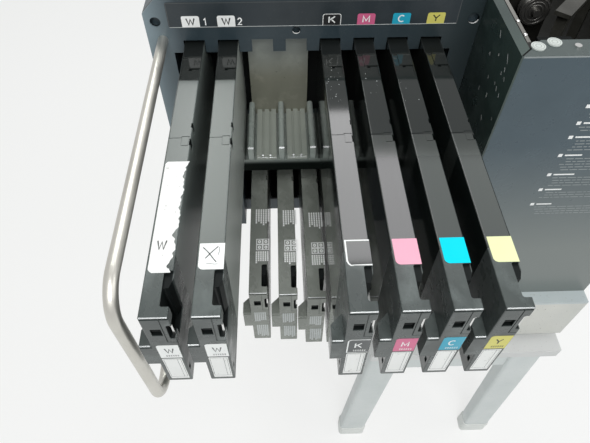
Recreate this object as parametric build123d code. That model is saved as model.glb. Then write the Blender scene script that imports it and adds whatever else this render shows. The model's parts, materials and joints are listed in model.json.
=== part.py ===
from build123d import *
import os

os.makedirs("parts", exist_ok=True)

# Ink cartridge station of a garment printer with the adjoining end of the
# body and its stand. X right, Y into the machine, Z up from the floor, in
# millimetres. While the pieces are made, X = 0 lies midway between the eight
# upper slots and Y = 0 on the face of the cartridge panel; all of them are
# moved at the end so that the footprint is centred on the origin.

# Upper cartridges
slot_pitch = 46.0
slot_count = 8
case_width = 26.4
case_height = 144.0
case_length = 460.0
inserted_length = 48.0
cartridge_top = 1173.0
case_radius = 1.4
seat_gap = 0.3

# How far a cutting block runs past the face that it cuts
over = 1.0

# Rear of a case: lowered step, latch recess with its raised pad, hole and slot
rear_step_length = 79.0
rear_step_drop = 1.6
latch_length = 49.0
latch_drop = 1.0
latch_rim = 2.0
latch_pad_left = 5.5
latch_pad_length = 26.0
latch_hole = 4.0
latch_hole_depth = 9.0
latch_slot_width = 1.8
latch_slot_depth = 3.0

# Seam round the middle of a case, its interlocking tab and the two slits beside it
middle_seam = 225.0
seam_width = 0.9
seam_depth = 0.8
seam_tab_left = 2.0
seam_tab_forward = 12.5
seam_tab_back = 3.0
edge_slit_starts = [213.5, 242.0]
edge_slit_lengths = [10.5, 8.0]
edge_slit_inset = 2.2
edge_slit_depth = 12.0

# Front end of a cartridge
front_cap_length = 65.0
front_round = 1.1
lip_groove_top = 1.8
lip_groove_height = 2.6
lip_groove_depth = 1.2
hammer_length = 11.0
finger_depth = 8.6
finger_length = 20.5
finger_height = 55.0
finger_radius = 2.4
finger_draft = 2.4
finger_slope_start = 3.4
finger_slope_length = 10.0
pocket_length = 37.5
pocket_depth = 3.0
bite_top = 15.0
bite_height = 27.0
bite_depth = 5.2
bite_radius = 2.6
face_seam_right = 4.0
face_seam_low = 48.0
window_left = 6.0
window_width = 10.0
window_top = 22.0
window_height = 13.0
window_depth = 7.0
louvre_height = 1.6
louvre_set_back = 2.0
clip_back = 3.0
clip_length = 5.0
clip_top = 115.0
clip_height = 9.0
clip_depth = 2.5
lug_width = 12.0
lug_top = 57.0
lug_height = 41.0
lug_length = 17.5
spring_foot = 2.4
spring_tip = 1.4
spring_side = 1.3
spring_sheet = 0.6
spring_set_back = 4.0
spring_height = 22.0
spring_hook = 1.6

# Lower cartridges: drop of their top below the upper ones, centres, and the
# length of each that stands behind the face of the panel
lower_drop = 225.0
lower_centres = [-84.0, -42.0, -2.0, 31.5]
lower_inserted = [199.0, 196.0, 190.0, 189.0]
lower_with_lug = 3

# Cartridge panel
panel_half = 222.0
panel_thickness = 2.5
panel_above = 66.0
corner_cut = 23.0
notch_width = 28.6
notch_clearance = 3.7
tooth_below = 15.0
opening_half = 190.5
left_hole_x = -207.5
left_hole_above = 31.0
left_hole_radius = 7.0
mid_hole_x = -23.0
mid_hole_above = 16.5
mid_hole_radius = 5.6
right_hole_x = 212.0
right_hole_above = 29.5
right_hole_radius = 7.5
hole_recess = 6.0

# Printed label above the slots
label_left = -191.0
label_right = 191.0
label_low = 22.5
label_high = 58.0
label_thickness = 0.4
label_radius = 3.0

# Housing behind the panel with an upper and a lower bay
station_back = 462.0
lower_bay_left = -120.0
lower_bay_right = 69.0
lower_bay_top = 200.0
floor_thickness = 30.0

# Cradle, inserts and blanking plate
cradle_reach = 72.0
cradle_to_receiver = 15.0
cradle_plate = 6.0
cradle_side_gap = 0.5
skirt_height = 23.0
skirt_thickness = 5.0
divider_width = 9.2
divider_height = 24.0
divider_radius = 4.0
divider_front_radius = 2.2
insert_width = 30.0
insert_height = 8.7
insert_base = 4.0
groove_width = 3.6
groove_offset = 5.4
plate_sheet = 2.0
blank_slots = [2, 3]

# Receivers at the back of both bays
receiver_depth = 42.0

# Rack of the lower bay
rack_set_back = 37.0
rack_plate = 4.0
rack_guide_gap = 0.6
rack_guide_width = 2.0
rack_guide_height = 6.0
rack_guide_length = 150.0

# Guard bar
bar_radius = 7.0
bar_wall = 1.6
bar_x = -202.0
bar_above = 5.0
bar_below = 240.0
bar_short = 12.0
bar_bend = 36.0

# Body end
body_gap = 0.3
body_width = 307.7
body_forward = 137.0
body_above = 65.0
body_height = 527.0
wall = 2.5
flange_width = 13.0
rim_depth = 31.0
well_depth = 165.0
well_wall = 9.0
well_length = 536.0

# Round caps and a screw on the rim
rim_cap_radius = 8.2
rim_cap_thickness = 1.6
rim_cap_along = [23.5, 44.5]
rim_cap_back = [17.5, 25.0]
screw_along = 68.5
screw_back = 16.5
screw_radius = 4.0
screw_height = 2.4

# Mechanism in the well
strip_width = 20.0
strip_height = 9.0
strip_thickness = 2.5
strip_rail = 8.0
strip_drop = 15.0
strip_length = 400.0
pulley_radius = 21.0
pulley_rim = 2.5
pulley_width = 14.0
pulley_shaft = 5.0
pulley_along = 92.0
pulley_back = 187.0
pulley_drop = 52.0
bracket_sheet = 4.0
bracket_width = 60.0
bar_width = 22.0
bar_thickness = 6.0
bar_length = 150.0
bar_angle = 48.0
bar_along = 165.0
bar_back = 205.0
bar_drop = 40.0
post_width = 14.0
motor_block = 46.0
motor_along = 95.0
motor_back = 92.0
motor_drop = 50.0
tank_width = 70.0
tank_length = 150.0
tank_along = 250.0
tank_back = 140.0
tank_drop = 40.0

# Base and feet of the machine
ledge_forward = 25.0
ledge_thickness = 6.0
base_height = 127.0
foot_radius = 22.0
foot_height = 18.0
foot_inset = 45.0

# Stand
stand_left = 129.0
stand_forward = 195.0
stand_thickness = 25.0
stand_radius = 4.0
leg_width = 68.0
leg_depth = 36.0
leg_splay = 28.0
leg_radius = 7.0
leg_inset = 2.0
apron_height = 60.0
apron_thickness = 20.0
apron_inset = 6.0
foot_cap_height = 50.0
foot_cap_wrap = 2.5
foot_cap_radius = 9.0
foot_cap_round = 2.0

# Sizes and places that follow from the ones above
half = case_width / 2
overhang = case_length - inserted_length
top = cartridge_top
insert_top = top - case_height - seat_gap
plate_top = insert_top - insert_height
bay_floor = plate_top - cradle_plate
panel_top = top + panel_above
lower_top = top - lower_drop
rack_top = lower_top - case_height - seat_gap
lower_floor = rack_top - rack_plate
station_bottom = lower_floor - floor_thickness
receiver_y = inserted_length + seat_gap
lower_receiver_y = max(lower_inserted) + seat_gap
body_left = panel_half + body_gap
body_right = body_left + body_width
body_front = -body_forward
body_top = top + body_above
body_bottom = body_top - body_height
ledge_front = body_front - ledge_forward
base_bottom = body_bottom - ledge_thickness - base_height
stand_top_z = base_bottom - foot_height
well_left = body_left + wall + well_wall
well_right = body_right - wall - well_wall
well_front = body_front + rim_depth
well_floor = body_top - well_depth
x_mid = (body_right - panel_half) / 2
y_mid = (station_back - overhang) / 2


def block(x0, x1, y0, y1, z0, z1):
    size = Box(x1 - x0, y1 - y0, z1 - z0)
    return Pos((x0 + x1) / 2, (y0 + y1) / 2, (z0 + z1) / 2) * size


def save(name, *solids):
    placed = [Pos(-x_mid, -y_mid, 0) * s for s in solids]
    shape = placed[0] if len(placed) == 1 else Compound(children=placed)
    export_step(shape, "parts/" + name + ".step")


def slot_x(index):
    return (index - (slot_count - 1) / 2) * slot_pitch


def upright(edge):
    return abs((edge % 0.5).Z) > 0.9


# Long case of one cartridge, from the seam behind the front end to the back
def make_case(cx, front, high):
    low = high - case_height
    left = cx - half
    right = cx + half
    back = front + case_length
    body = block(left, right, front + front_cap_length, back, low, high)
    body = fillet(body.edges().filter_by(Axis.Y), case_radius)
    step_y = back - rear_step_length
    body -= block(left - over, right + over, step_y, back + over, high - rear_step_drop, high + over)
    return body - latch_cuts(cx, step_y, high) - seam_cuts(cx, front + middle_seam, low, high) \
        - slit_cuts(right, front, high)


# Recess in front of the rear step, round a pad that stays at full height
def latch_cuts(cx, step_y, high):
    latch_y = step_y - latch_length
    pad_y = step_y - latch_pad_length
    right = cx + half - latch_rim
    recess = block(cx - half + latch_rim, right, latch_y, step_y + over, high - latch_drop, high + over)
    recess -= block(cx - latch_pad_left, right + over, pad_y, step_y, high - latch_drop - over, high + over)
    slot = block(cx, right + latch_rim + over, pad_y - latch_slot_width, pad_y,
                 high - latch_slot_depth, high + over)
    hole = block(cx - latch_hole / 2, cx + latch_hole / 2, pad_y - latch_hole, pad_y,
                 high - latch_hole_depth, high + over)
    return recess + slot + hole


# Shallow line round the case that steps round a square tab on its top
def seam_cuts(cx, seam_y, low, high):
    left = cx - half
    right = cx + half
    ring = block(left - over, right + over, seam_y, seam_y + seam_width, low - over, high + over)
    ring -= block(left + seam_depth, right - seam_depth, seam_y - over, seam_y + seam_width + over,
                  low + seam_depth, high - seam_depth)
    tab_left = cx + seam_tab_left
    tab_right = right - edge_slit_inset
    ring -= block(tab_left, right + 2 * over, seam_y - over, seam_y + seam_width + over,
                  high - seam_depth, high + 2 * over)
    tab_front = seam_y - seam_tab_forward
    tab_back = seam_y + seam_tab_back
    tab = block(tab_left, tab_right, tab_front, tab_back, high - seam_depth, high + over)
    tab -= block(tab_left + seam_width, tab_right - seam_width, tab_front + seam_width,
                 tab_back - seam_width, high - seam_depth - over, high + 2 * over)
    return ring + tab


def slit_cuts(right, front, high):
    cuts = []
    for begin, length in zip(edge_slit_starts, edge_slit_lengths):
        cuts.append(block(right - edge_slit_inset, right + over, front + begin, front + begin + length,
                          high - edge_slit_depth, high + over))
    return cuts[0] + cuts[1]


# Finger notch: one sloped wall, a slanted back and a shallow pocket behind it
def finger_cuts(right, front, high):
    y = front + hammer_length
    wall_x = right - finger_depth
    slope_x = right - finger_slope_start
    outer = right + 5 * over
    back = y + finger_length
    faces = []
    for z, shift in ((high + over, 0), (high - finger_height, finger_draft)):
        outline = Polyline((wall_x + shift, y), (outer, y), (outer, back + finger_slope_length),
                           (right, back + finger_slope_length), (slope_x, back), (wall_x + shift, back),
                           close=True)
        faces.append(make_face(Pos(0, 0, z) * outline))
    notch = loft(faces, ruled=True)
    notch = fillet(notch.edges().filter_by(upright).sort_by(Axis.X)[:2], finger_radius)
    pocket = block(wall_x, outer, y, y + pocket_length, high - pocket_depth, high + over)
    pocket = fillet(pocket.edges().filter_by(Axis.Z).sort_by(Axis.X)[:2], finger_radius)
    bite = block(right - bite_depth, outer, front - over, y + 2 * finger_radius,
                 high - bite_top - bite_height, high - bite_top)
    bite = fillet(bite.edges().filter_by(Axis.Y).sort_by(Axis.X)[:2], bite_radius)
    return notch + pocket + bite


# Window with one louvre, the seams of the front face and the clip recesses
def face_cuts(cx, front, high):
    left = cx - half
    right = cx + half
    window_x = left + window_left
    window_z = high - window_top - window_height
    window = block(window_x, window_x + window_width, front - over, front + window_depth,
                   window_z, high - window_top)
    louvre_z = window_z + (window_height - louvre_height) / 2
    window -= block(window_x, window_x + window_width, front + louvre_set_back, front + window_depth,
                    louvre_z, louvre_z + louvre_height)
    lip_z = high - lip_groove_top
    lip = block(left - over, right + over, front - over, front + lip_groove_depth,
                lip_z - lip_groove_height, lip_z)
    seam_x = cx + face_seam_right
    seam_z = high - face_seam_low
    seam = block(seam_x, seam_x + seam_width, front - over, front + seam_depth, seam_z, lip_z)
    seam += block(seam_x, right + over, front - over, front + seam_depth, seam_z - seam_width, seam_z)
    clips = block(left - over, right + over, front + clip_back, front + clip_back + clip_length,
                  high - clip_top - clip_height, high - clip_top)
    clips -= block(left + clip_depth, right - clip_depth, front, front + front_cap_length,
                   high - case_height, high)
    return window + lip + seam + clips


# Lug on the left of a front end, chamfered behind and lipped like the front
def make_lug(left, front, high):
    lug_y = front + lug_length
    lug_high = high - lug_top
    outline = Polyline((left - lug_width, front), (left + over, front),
                       (left + over, lug_y + lug_width + over),
                       (left - lug_width, lug_y), close=True)
    lug = Pos(0, 0, lug_high - lug_height) * extrude(make_face(outline), lug_height)
    edge = lug.faces().sort_by(Axis.Y)[0].edges().sort_by(Axis.Z)[-1]
    lug = fillet(edge, front_round)
    lip_z = lug_high - lip_groove_top
    return lug - block(left - lug_width - over, left, front - over, front + lip_groove_depth,
                       lip_z - lip_groove_height, lip_z)


# Front end with its finger notch, window and lug
def make_front(cx, front, high, with_lug):
    left = cx - half
    right = cx + half
    body = block(left, right, front, front + front_cap_length, high - case_height, high)
    body = fillet(body.edges().filter_by(Axis.Y), case_radius)
    body = fillet(body.faces().sort_by(Axis.Y)[0].edges(), front_round)
    body -= finger_cuts(right, front, high)
    body -= face_cuts(cx, front, high)
    if with_lug:
        body += make_lug(left, front, high)
    return body


# Bright tapered leaf spring standing in the bite of the front end
def make_spring(cx, front, high):
    x = cx + half - spring_side
    y = front + spring_set_back
    z = high - bite_top - bite_height
    tip_z = z + spring_height
    outline = Polyline((x - spring_foot / 2, z), (x + spring_foot / 2, z), (x + spring_tip / 2, tip_z),
                       (x - spring_tip / 2, tip_z), close=True)
    leaf = Pos(0, y, 0) * extrude(make_face(Plane.XZ * outline), spring_sheet, dir=(0, 1, 0))
    hook = block(x - spring_tip / 2, x + spring_tip / 2, y - spring_hook, y + spring_sheet,
                 tip_z - spring_sheet, tip_z)
    return leaf + hook


upper = {"white_1": 0, "white_2": 1, "black": 4, "magenta": 5, "cyan": 6, "yellow": 7}
springs = []
for name, index in upper.items():
    centre = slot_x(index)
    save("cartridge_" + name + "_case", make_case(centre, -overhang, top))
    save("cartridge_" + name + "_front", make_front(centre, -overhang, top, True))
    springs.append(make_spring(centre, -overhang, top))

for number, centre in enumerate(lower_centres, 1):
    front = lower_inserted[number - 1] - case_length
    case = make_case(centre, front, lower_top)
    end = make_front(centre, front, lower_top, number <= lower_with_lug)
    save("lower_cartridge_" + str(number), case + end)
    springs.append(make_spring(centre, front, lower_top))
save("cartridge_springs", *springs)

# Panel with the castellated opening and the bay below it
panel = block(-panel_half, panel_half, 0, panel_thickness, station_bottom, panel_top)
corner = Polyline((-panel_half - over, panel_top + over), (-panel_half + corner_cut, panel_top + over),
                  (-panel_half + corner_cut, panel_top), (-panel_half, panel_top - corner_cut),
                  (-panel_half - over, panel_top - corner_cut), close=True)
corner_wedge = extrude(make_face(Plane.XZ * corner), station_back + over, both=True)
panel -= corner_wedge
panel -= block(-opening_half, opening_half, -over, panel_thickness + over, bay_floor, top - tooth_below)
for i in range(slot_count):
    centre = slot_x(i)
    panel -= block(centre - notch_width / 2, centre + notch_width / 2, -over, panel_thickness + over,
                   top - tooth_below - over, top + notch_clearance)
panel -= block(lower_bay_left, lower_bay_right, -over, panel_thickness + over, station_bottom - over,
               top - lower_bay_top)
holes = ((left_hole_x, left_hole_above, left_hole_radius), (mid_hole_x, mid_hole_above, mid_hole_radius),
         (right_hole_x, right_hole_above, right_hole_radius))
for hole_x, above, radius in holes:
    panel -= Pos(hole_x, 0, top + above) * Rot(90, 0, 0) * Cylinder(radius, 4 * panel_thickness)
save("station_front_panel", panel)

label = block(label_left, label_right, -label_thickness, 0, top + label_low, top + label_high)
label = fillet(label.edges().filter_by(Axis.Y), label_radius)
save("station_label", label)

# Closed housing behind the panel, with both bays cut into its front
housing = block(-panel_half, panel_half, panel_thickness, station_back, station_bottom, panel_top)
housing -= corner_wedge
housing -= block(-opening_half, opening_half, panel_thickness - over, receiver_y + receiver_depth,
                 bay_floor, top + notch_clearance)
housing -= block(lower_bay_left, lower_bay_right, panel_thickness - over, lower_receiver_y + receiver_depth,
                 lower_floor, top - lower_bay_top)
housing -= block(lower_bay_left, lower_bay_right, panel_thickness - over, rack_set_back,
                 station_bottom - over, lower_floor + over)
for hole_x, above, radius in holes:
    housing -= Pos(hole_x, panel_thickness, top + above) * Rot(90, 0, 0) * Cylinder(radius, 2 * hole_recess)
save("station_housing", housing)

# Cradle under the upper cartridges, with a front skirt and rounded dividers
cradle_half = opening_half - cradle_side_gap
cradle_back = receiver_y - cradle_to_receiver
cradle = block(-cradle_half, cradle_half, -cradle_reach, cradle_back, bay_floor, plate_top)
cradle += block(-cradle_half, cradle_half, -cradle_reach, -cradle_reach + skirt_thickness,
                plate_top - skirt_height, plate_top)
for i in range(slot_count + 1):
    x = slot_x(i) - slot_pitch / 2
    x = max(min(x, cradle_half - divider_width / 2), -cradle_half + divider_width / 2)
    rib = block(x - divider_width / 2, x + divider_width / 2, -cradle_reach, cradle_back,
                plate_top, plate_top + divider_height)
    rib = fillet(rib.edges().filter_by(Axis.Y).sort_by(Axis.Z)[-2:], divider_radius)
    nose = rib.faces().sort_by(Axis.Y)[0].edges().sort_by(Axis.Z)[-3:]
    cradle += fillet(nose, divider_front_radius)
save("cartridge_cradle", cradle)

# Ribbed channel that guides the foot of a cartridge, one in each slot
inserts = []
for i in range(slot_count):
    centre = slot_x(i)
    piece = block(centre - insert_width / 2, centre + insert_width / 2, -cradle_reach, cradle_back,
                  plate_top, insert_top)
    for side in (-1, 1):
        groove_x = centre + side * groove_offset
        piece -= block(groove_x - groove_width / 2, groove_x + groove_width / 2, -cradle_reach - over,
                       cradle_back + over, plate_top + insert_base, insert_top + over)
    inserts.append(piece)
save("slot_inserts", *inserts)

blank_left = slot_x(blank_slots[0]) - slot_pitch / 2
blank_right = slot_x(blank_slots[-1]) + slot_pitch / 2 - divider_width / 2
blank = block(blank_left, blank_right, cradle_back, cradle_back + plate_sheet, bay_floor,
              top + notch_clearance)
save("slot_blanking_plate", blank)

receiver = block(-opening_half, opening_half, receiver_y, receiver_y + receiver_depth,
                 bay_floor, top + notch_clearance)
lower_receiver = block(lower_bay_left, lower_bay_right, lower_receiver_y,
                       lower_receiver_y + receiver_depth, rack_top, top - lower_bay_top)
save("cartridge_receivers", receiver, lower_receiver)

# Rack floor of the lower bay with a low guide on each side of a cartridge
rack = block(lower_bay_left, lower_bay_right, rack_set_back, lower_receiver_y + receiver_depth,
             lower_floor, rack_top)
for centre in lower_centres:
    for side in (-1, 1):
        x = centre + side * (half + rack_guide_gap + rack_guide_width / 2)
        rack += block(x - rack_guide_width / 2, x + rack_guide_width / 2, rack_set_back,
                      rack_set_back + rack_guide_length, rack_top, rack_top + rack_guide_height)
save("lower_rack", rack)

# Guard bar: a bent tube from the panel forward, down and back to the panel
bar_high = top + bar_above
bar_low = top - bar_below
bar_reach = overhang - bar_short
bar_path = FilletPolyline((bar_x, 0, bar_high), (bar_x, -bar_reach, bar_high),
                          (bar_x, -bar_reach, bar_low), (bar_x, 0, bar_low), radius=bar_bend)
tube_face = Circle(bar_radius) - Circle(bar_radius - bar_wall)
bar = sweep(Plane(origin=(bar_x, 0, bar_high), z_dir=(0, -1, 0)) * tube_face, path=bar_path)
save("guard_bar", bar)

# Side wall of the body with its folded flange, mitred to the front rim
side_wall = block(body_left, body_left + wall, body_front, station_back, body_bottom, body_top)
side_wall += block(body_left, body_left + flange_width, body_front, station_back - wall,
                   body_top - wall, body_top)
mitre = Polyline((body_left, body_front), (body_left + rim_depth, body_front),
                 (body_left + rim_depth, body_front + rim_depth), close=True)
side_wall -= Pos(0, 0, body_top - wall) * extrude(make_face(mitre), wall + over)
save("body_side_wall", side_wall)

cover = block(body_left + wall, body_right, body_front, body_front + wall, body_bottom, body_top - wall)
save("body_front_cover", cover)

rim_outline = Polyline((body_left + body_gap, body_front), (body_right, body_front),
                       (body_right, well_front), (body_left + body_gap + rim_depth, well_front), close=True)
rim = Pos(0, 0, body_top - wall) * extrude(make_face(rim_outline), wall)
save("body_top_rim", rim)

caps = []
for along, back in zip(rim_cap_along, rim_cap_back):
    cap = Pos(body_left + along, body_front + back, body_top + rim_cap_thickness / 2)
    caps.append(cap * Cylinder(rim_cap_radius, rim_cap_thickness))
save("rim_caps", *caps)
screw = Cylinder(screw_radius, screw_height)
save("rim_screw", Pos(body_left + screw_along, body_front + screw_back, body_top + screw_height / 2) * screw)

# Closed body behind the covers, with the well that the mechanism stands in
chassis = block(body_left + wall, body_right - wall, body_front + wall, station_back - wall,
                body_bottom, body_top - wall)
chassis -= block(well_left, well_right, well_front, well_front + well_length, well_floor, body_top)
save("body_chassis", chassis)

# Angle rail on the wall of the well, with an upstand along its inner edge
strip_right = well_left + strip_width
strip_low = body_top - strip_drop - strip_height
strip = block(well_left, strip_right, well_front, well_front + strip_length, strip_low,
              strip_low + strip_thickness)
strip += block(strip_right - strip_rail, strip_right, well_front, well_front + strip_length, strip_low,
               body_top - strip_drop)
save("inner_strip", strip)

# Belt pulley on its shaft, carried by an upright bracket
pulley_x = body_left + pulley_along
pulley_y = body_front + pulley_back
pulley_z = body_top - pulley_drop
profile = Rot(90, 0, 0) * Cylinder(pulley_radius, pulley_width)
groove = Rot(90, 0, 0) * (Cylinder(pulley_radius + over, pulley_width - 2 * pulley_rim)
                          - Cylinder(pulley_radius - pulley_rim, pulley_width))
shaft = Rot(90, 0, 0) * Cylinder(pulley_shaft, 2 * pulley_width)
save("drive_pulley", Pos(pulley_x, pulley_y, pulley_z) * (profile - groove + shaft))
bracket_y = pulley_y + pulley_width
bracket = block(pulley_x - bracket_width / 2, pulley_x + bracket_width / 2, bracket_y,
                bracket_y + bracket_sheet, well_floor, pulley_z + pulley_radius)
bracket = fillet(bracket.edges().filter_by(Axis.Y).sort_by(Axis.Z)[-2:], pulley_radius - pulley_rim)
save("pulley_bracket", bracket)

# Slanting bar on its two posts
arm_x = body_left + bar_along
arm_y = body_front + bar_back
arm_z = body_top - bar_drop
arm = Box(bar_length, bar_width, bar_thickness)
post_height = arm_z - bar_thickness / 2 - well_floor
posts = None
for side in (-1, 1):
    post = Pos(side * (bar_length / 2 - post_width), 0, -(bar_thickness + post_height) / 2)
    post = post * Box(post_width, post_width, post_height)
    arm += post
arm = Pos(arm_x, arm_y, arm_z) * Rot(0, 0, bar_angle) * arm
save("carriage_bar", arm)

motor_x = body_left + motor_along
motor_y = body_front + motor_back
tank_x = body_left + tank_along
tank_y = body_front + tank_back
motor = block(motor_x - motor_block / 2, motor_x + motor_block / 2, motor_y - motor_block / 2,
              motor_y + motor_block / 2, well_floor, body_top - motor_drop)
tank = block(tank_x - tank_width / 2, tank_x + tank_width / 2, tank_y - tank_length / 2,
             tank_y + tank_length / 2, well_floor, body_top - tank_drop)
save("mechanism_blocks", motor, tank)

# Folded sheet that closes the right end and the back
closing = block(body_right - wall, body_right, body_front + wall, station_back, body_bottom, body_top)
closing += block(body_left + wall, body_right, station_back - wall, station_back, body_bottom, body_top)
closing -= block(body_right - wall - over, body_right + over, body_front, well_front,
                 body_top - wall, body_top + over)
save("body_closing_panel", closing)

ledge = block(body_left, body_right, ledge_front, station_back, body_bottom - ledge_thickness, body_bottom)
save("base_ledge", ledge)
base = block(body_left, body_right, ledge_front, station_back, base_bottom, body_bottom - ledge_thickness)
save("base_cover", base)

feet = []
for foot_x in (body_left + foot_inset, body_right - foot_inset):
    for foot_y in (ledge_front + foot_inset, station_back - foot_inset):
        feet.append(Pos(foot_x, foot_y, stand_top_z + foot_height / 2) * Cylinder(foot_radius, foot_height))
save("machine_feet", *feet)

# Stand: top, four legs joined by aprons, and a cap on each leg
under = stand_top_z - stand_thickness
table = block(stand_left, body_right, -stand_forward, station_back, under, stand_top_z)
table = fillet(table.edges().filter_by(Axis.Z), stand_radius)
save("stand_top", table)

# Legs lean outward to the floor; aprons run into them under the top
leg_xs = (stand_left + leg_inset, body_right - leg_inset - leg_splay - leg_width)
leg_shifts = (-leg_splay, leg_splay)
leg_ys = (-stand_forward + leg_inset, station_back - leg_inset - leg_depth)
apron_low = under - apron_height
far = leg_width - apron_inset - apron_thickness
deep = leg_depth - apron_inset - apron_thickness
apron_x0 = leg_xs[0] + leg_width / 2
apron_x1 = leg_xs[1] + leg_width / 2
apron_y0 = leg_ys[0] + leg_depth / 2
apron_y1 = leg_ys[1] + leg_depth / 2
frame = Part()
for apron_x in (leg_xs[0] + apron_inset, leg_xs[1] + far):
    frame += block(apron_x, apron_x + apron_thickness, apron_y0, apron_y1, apron_low, under)
for apron_y in (leg_ys[0] + apron_inset, leg_ys[1] + deep):
    frame += block(apron_x0, apron_x1, apron_y, apron_y + apron_thickness, apron_low, under)
pads = []
for leg_x, shift in zip(leg_xs, leg_shifts):
    for leg_y in leg_ys:
        foot_x = leg_x + shift
        outline = Polyline((leg_x, under), (leg_x + leg_width, under), (foot_x + leg_width, foot_cap_height),
                           (foot_x, foot_cap_height), close=True)
        leg = Pos(0, leg_y, 0) * extrude(make_face(Plane.XZ * outline), leg_depth, dir=(0, 1, 0))
        frame += fillet(leg.edges().filter_by(upright), leg_radius)
        pad = block(foot_x - foot_cap_wrap, foot_x + leg_width + foot_cap_wrap, leg_y - foot_cap_wrap,
                    leg_y + leg_depth + foot_cap_wrap, 0, foot_cap_height)
        pad = fillet(pad.edges().filter_by(Axis.Z), foot_cap_radius)
        pads.append(fillet(pad.faces().sort_by(Axis.Z)[-1].edges(), foot_cap_round))
save("stand_frame", frame)
save("stand_foot_caps", *pads)
print("base of the machine", round(base_bottom, 2), "stand top", round(stand_top_z, 2))
print("bottom of the station", round(station_bottom, 2), "body top", round(body_top, 2))
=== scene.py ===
import json
import math
import bmesh
import bpy
import numpy as np
from mathutils import Matrix, Vector

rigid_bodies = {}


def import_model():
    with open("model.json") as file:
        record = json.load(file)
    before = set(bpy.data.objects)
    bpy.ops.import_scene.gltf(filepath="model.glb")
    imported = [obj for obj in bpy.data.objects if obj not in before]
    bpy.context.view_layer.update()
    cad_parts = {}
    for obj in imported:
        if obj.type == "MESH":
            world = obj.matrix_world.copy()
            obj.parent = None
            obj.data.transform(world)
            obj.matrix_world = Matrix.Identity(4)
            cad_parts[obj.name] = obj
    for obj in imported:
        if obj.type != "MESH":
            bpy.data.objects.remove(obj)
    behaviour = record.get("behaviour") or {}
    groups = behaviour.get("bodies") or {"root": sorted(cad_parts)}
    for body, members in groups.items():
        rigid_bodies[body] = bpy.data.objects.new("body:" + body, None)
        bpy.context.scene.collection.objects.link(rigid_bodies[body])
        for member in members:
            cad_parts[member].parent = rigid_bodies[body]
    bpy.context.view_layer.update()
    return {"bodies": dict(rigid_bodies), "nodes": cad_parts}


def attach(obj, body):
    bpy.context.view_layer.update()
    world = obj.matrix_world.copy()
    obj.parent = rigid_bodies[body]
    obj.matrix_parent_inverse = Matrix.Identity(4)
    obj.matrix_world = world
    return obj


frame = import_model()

body = list(frame["bodies"])[0]
scene = bpy.context.scene
print("frame loaded", len(frame["nodes"]), "nodes")

# All lengths are station millimetres: X = 0 midway between the eight slots, Y = 0 on the front panel and
# Z from the floor. This shift and a division by 1000 take them to the row frame.
shift = np.array([154.0, 25.0, 0.0])
slotPitch = 46.0
caseHalf = 13.2       # half a cartridge's thickness
caseHigh = 144.0
cartridgeTop = 1173.0
frontFace = -412.0    # fronts of the upper cartridges
lowerTop = 948.0
lowerCentres = (-84.0, -42.0, -2.0, 31.5)
lowerFronts = (-261.0, -264.0, -270.0, -271.0)
bodyLeft = 222.3
coverFace = -137.0


def put(points):
    return (np.asarray(points, float) - shift) / 1000.0


def slotCentre(number):
    return (number - 3.5) * slotPitch


# The photograph's viewpoint and lens
camera = dict(place=(-45.01, -620.62, 1574.14), tilt=52.23, yaw=1.957, roll=-0.207, lens=31.30, sensor=36.0,
              near=0.02)
# Area lights: place and aim, size in metres and power in watts
lights = dict(
    front=dict(place=(250, -2300, 3100), aim=(60, -250, 1000), size=(2.4, 0.5), power=33.0),
    overhead=dict(place=(-45, -1250, 3000), aim=(-40, -220, 950), size=(0.7, 0.7), power=17.0),
    side=dict(place=(2600, -600, 2600), aim=(300, 0, 900), size=(1.8, 1.8), power=15.0),
)
# Ceiling panels, which the cartridges' tops mirror: left, right, front and back, radiance and colour of each
ceiling = dict(height=2900.0, panels=[(-800, -230, 760, 2350, 5.3, (0.96, 1.0, 0.96)),
                                      (200, 420, 760, 1900, 6.0, (1.0, 0.99, 1.0)),
                                      (420, 680, 760, 1510, 5.2, (1.0, 0.98, 1.0)),
                                      (680, 1250, 700, 1500, 2.0, (0.92, 1.0, 0.96))])
world = dict(colour=(0.95, 0.98, 1.0), strength=0.33, seen=0.68)    # seen is what the camera and mirrors get
# Half the floor's side in metres; shown is how much of it glows for the camera
floor = dict(colour=(0.94, 0.95, 0.94), half=7.0, rough=0.6, glow=(1.0, 1.0, 0.99), shown=0.66)


# Painted shade on the walls of a cartridge's notch, window and grooves, which get little light: all that lies
# inside its outline, from where the shade begins to where it is full, below its top and in from its other sides
insideDepth = dict(top=(1.2, 1.7), edge=(0.6, 1.1))


def inside(top, front, centre, axis):
    foot, left, right = top - caseHigh, centre - caseHalf, centre + caseHalf
    begin, full = insideDepth["edge"]
    return [("z", top - insideDepth["top"][0], top - insideDepth["top"][1]), ("z", foot + begin, foot + full),
            ("y", front + begin, front + full), (axis, left + begin, left + full),
            (axis, right - begin, right - full)]


# Near-black colour, roughness and low shine of that painted shade
paintedShade = ((0.006, 0.008, 0.008), 0.50, 0.15)
upperInsideShade = (inside(cartridgeTop, frontFace, slotPitch / 2, "slot"), *paintedShade)
lowerInsideShade = [(inside(lowerTop, y, x, "x"), *paintedShade) for x, y in zip(lowerCentres, lowerFronts)]
glossyCase = dict(colour=(0.014, 0.017, 0.016), other=(0.024, 0.027, 0.025), rough=0.055, bump=0.008,
                  grain=1200, dust=0.05, scratch=0.03, smudge=0.14)

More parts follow.
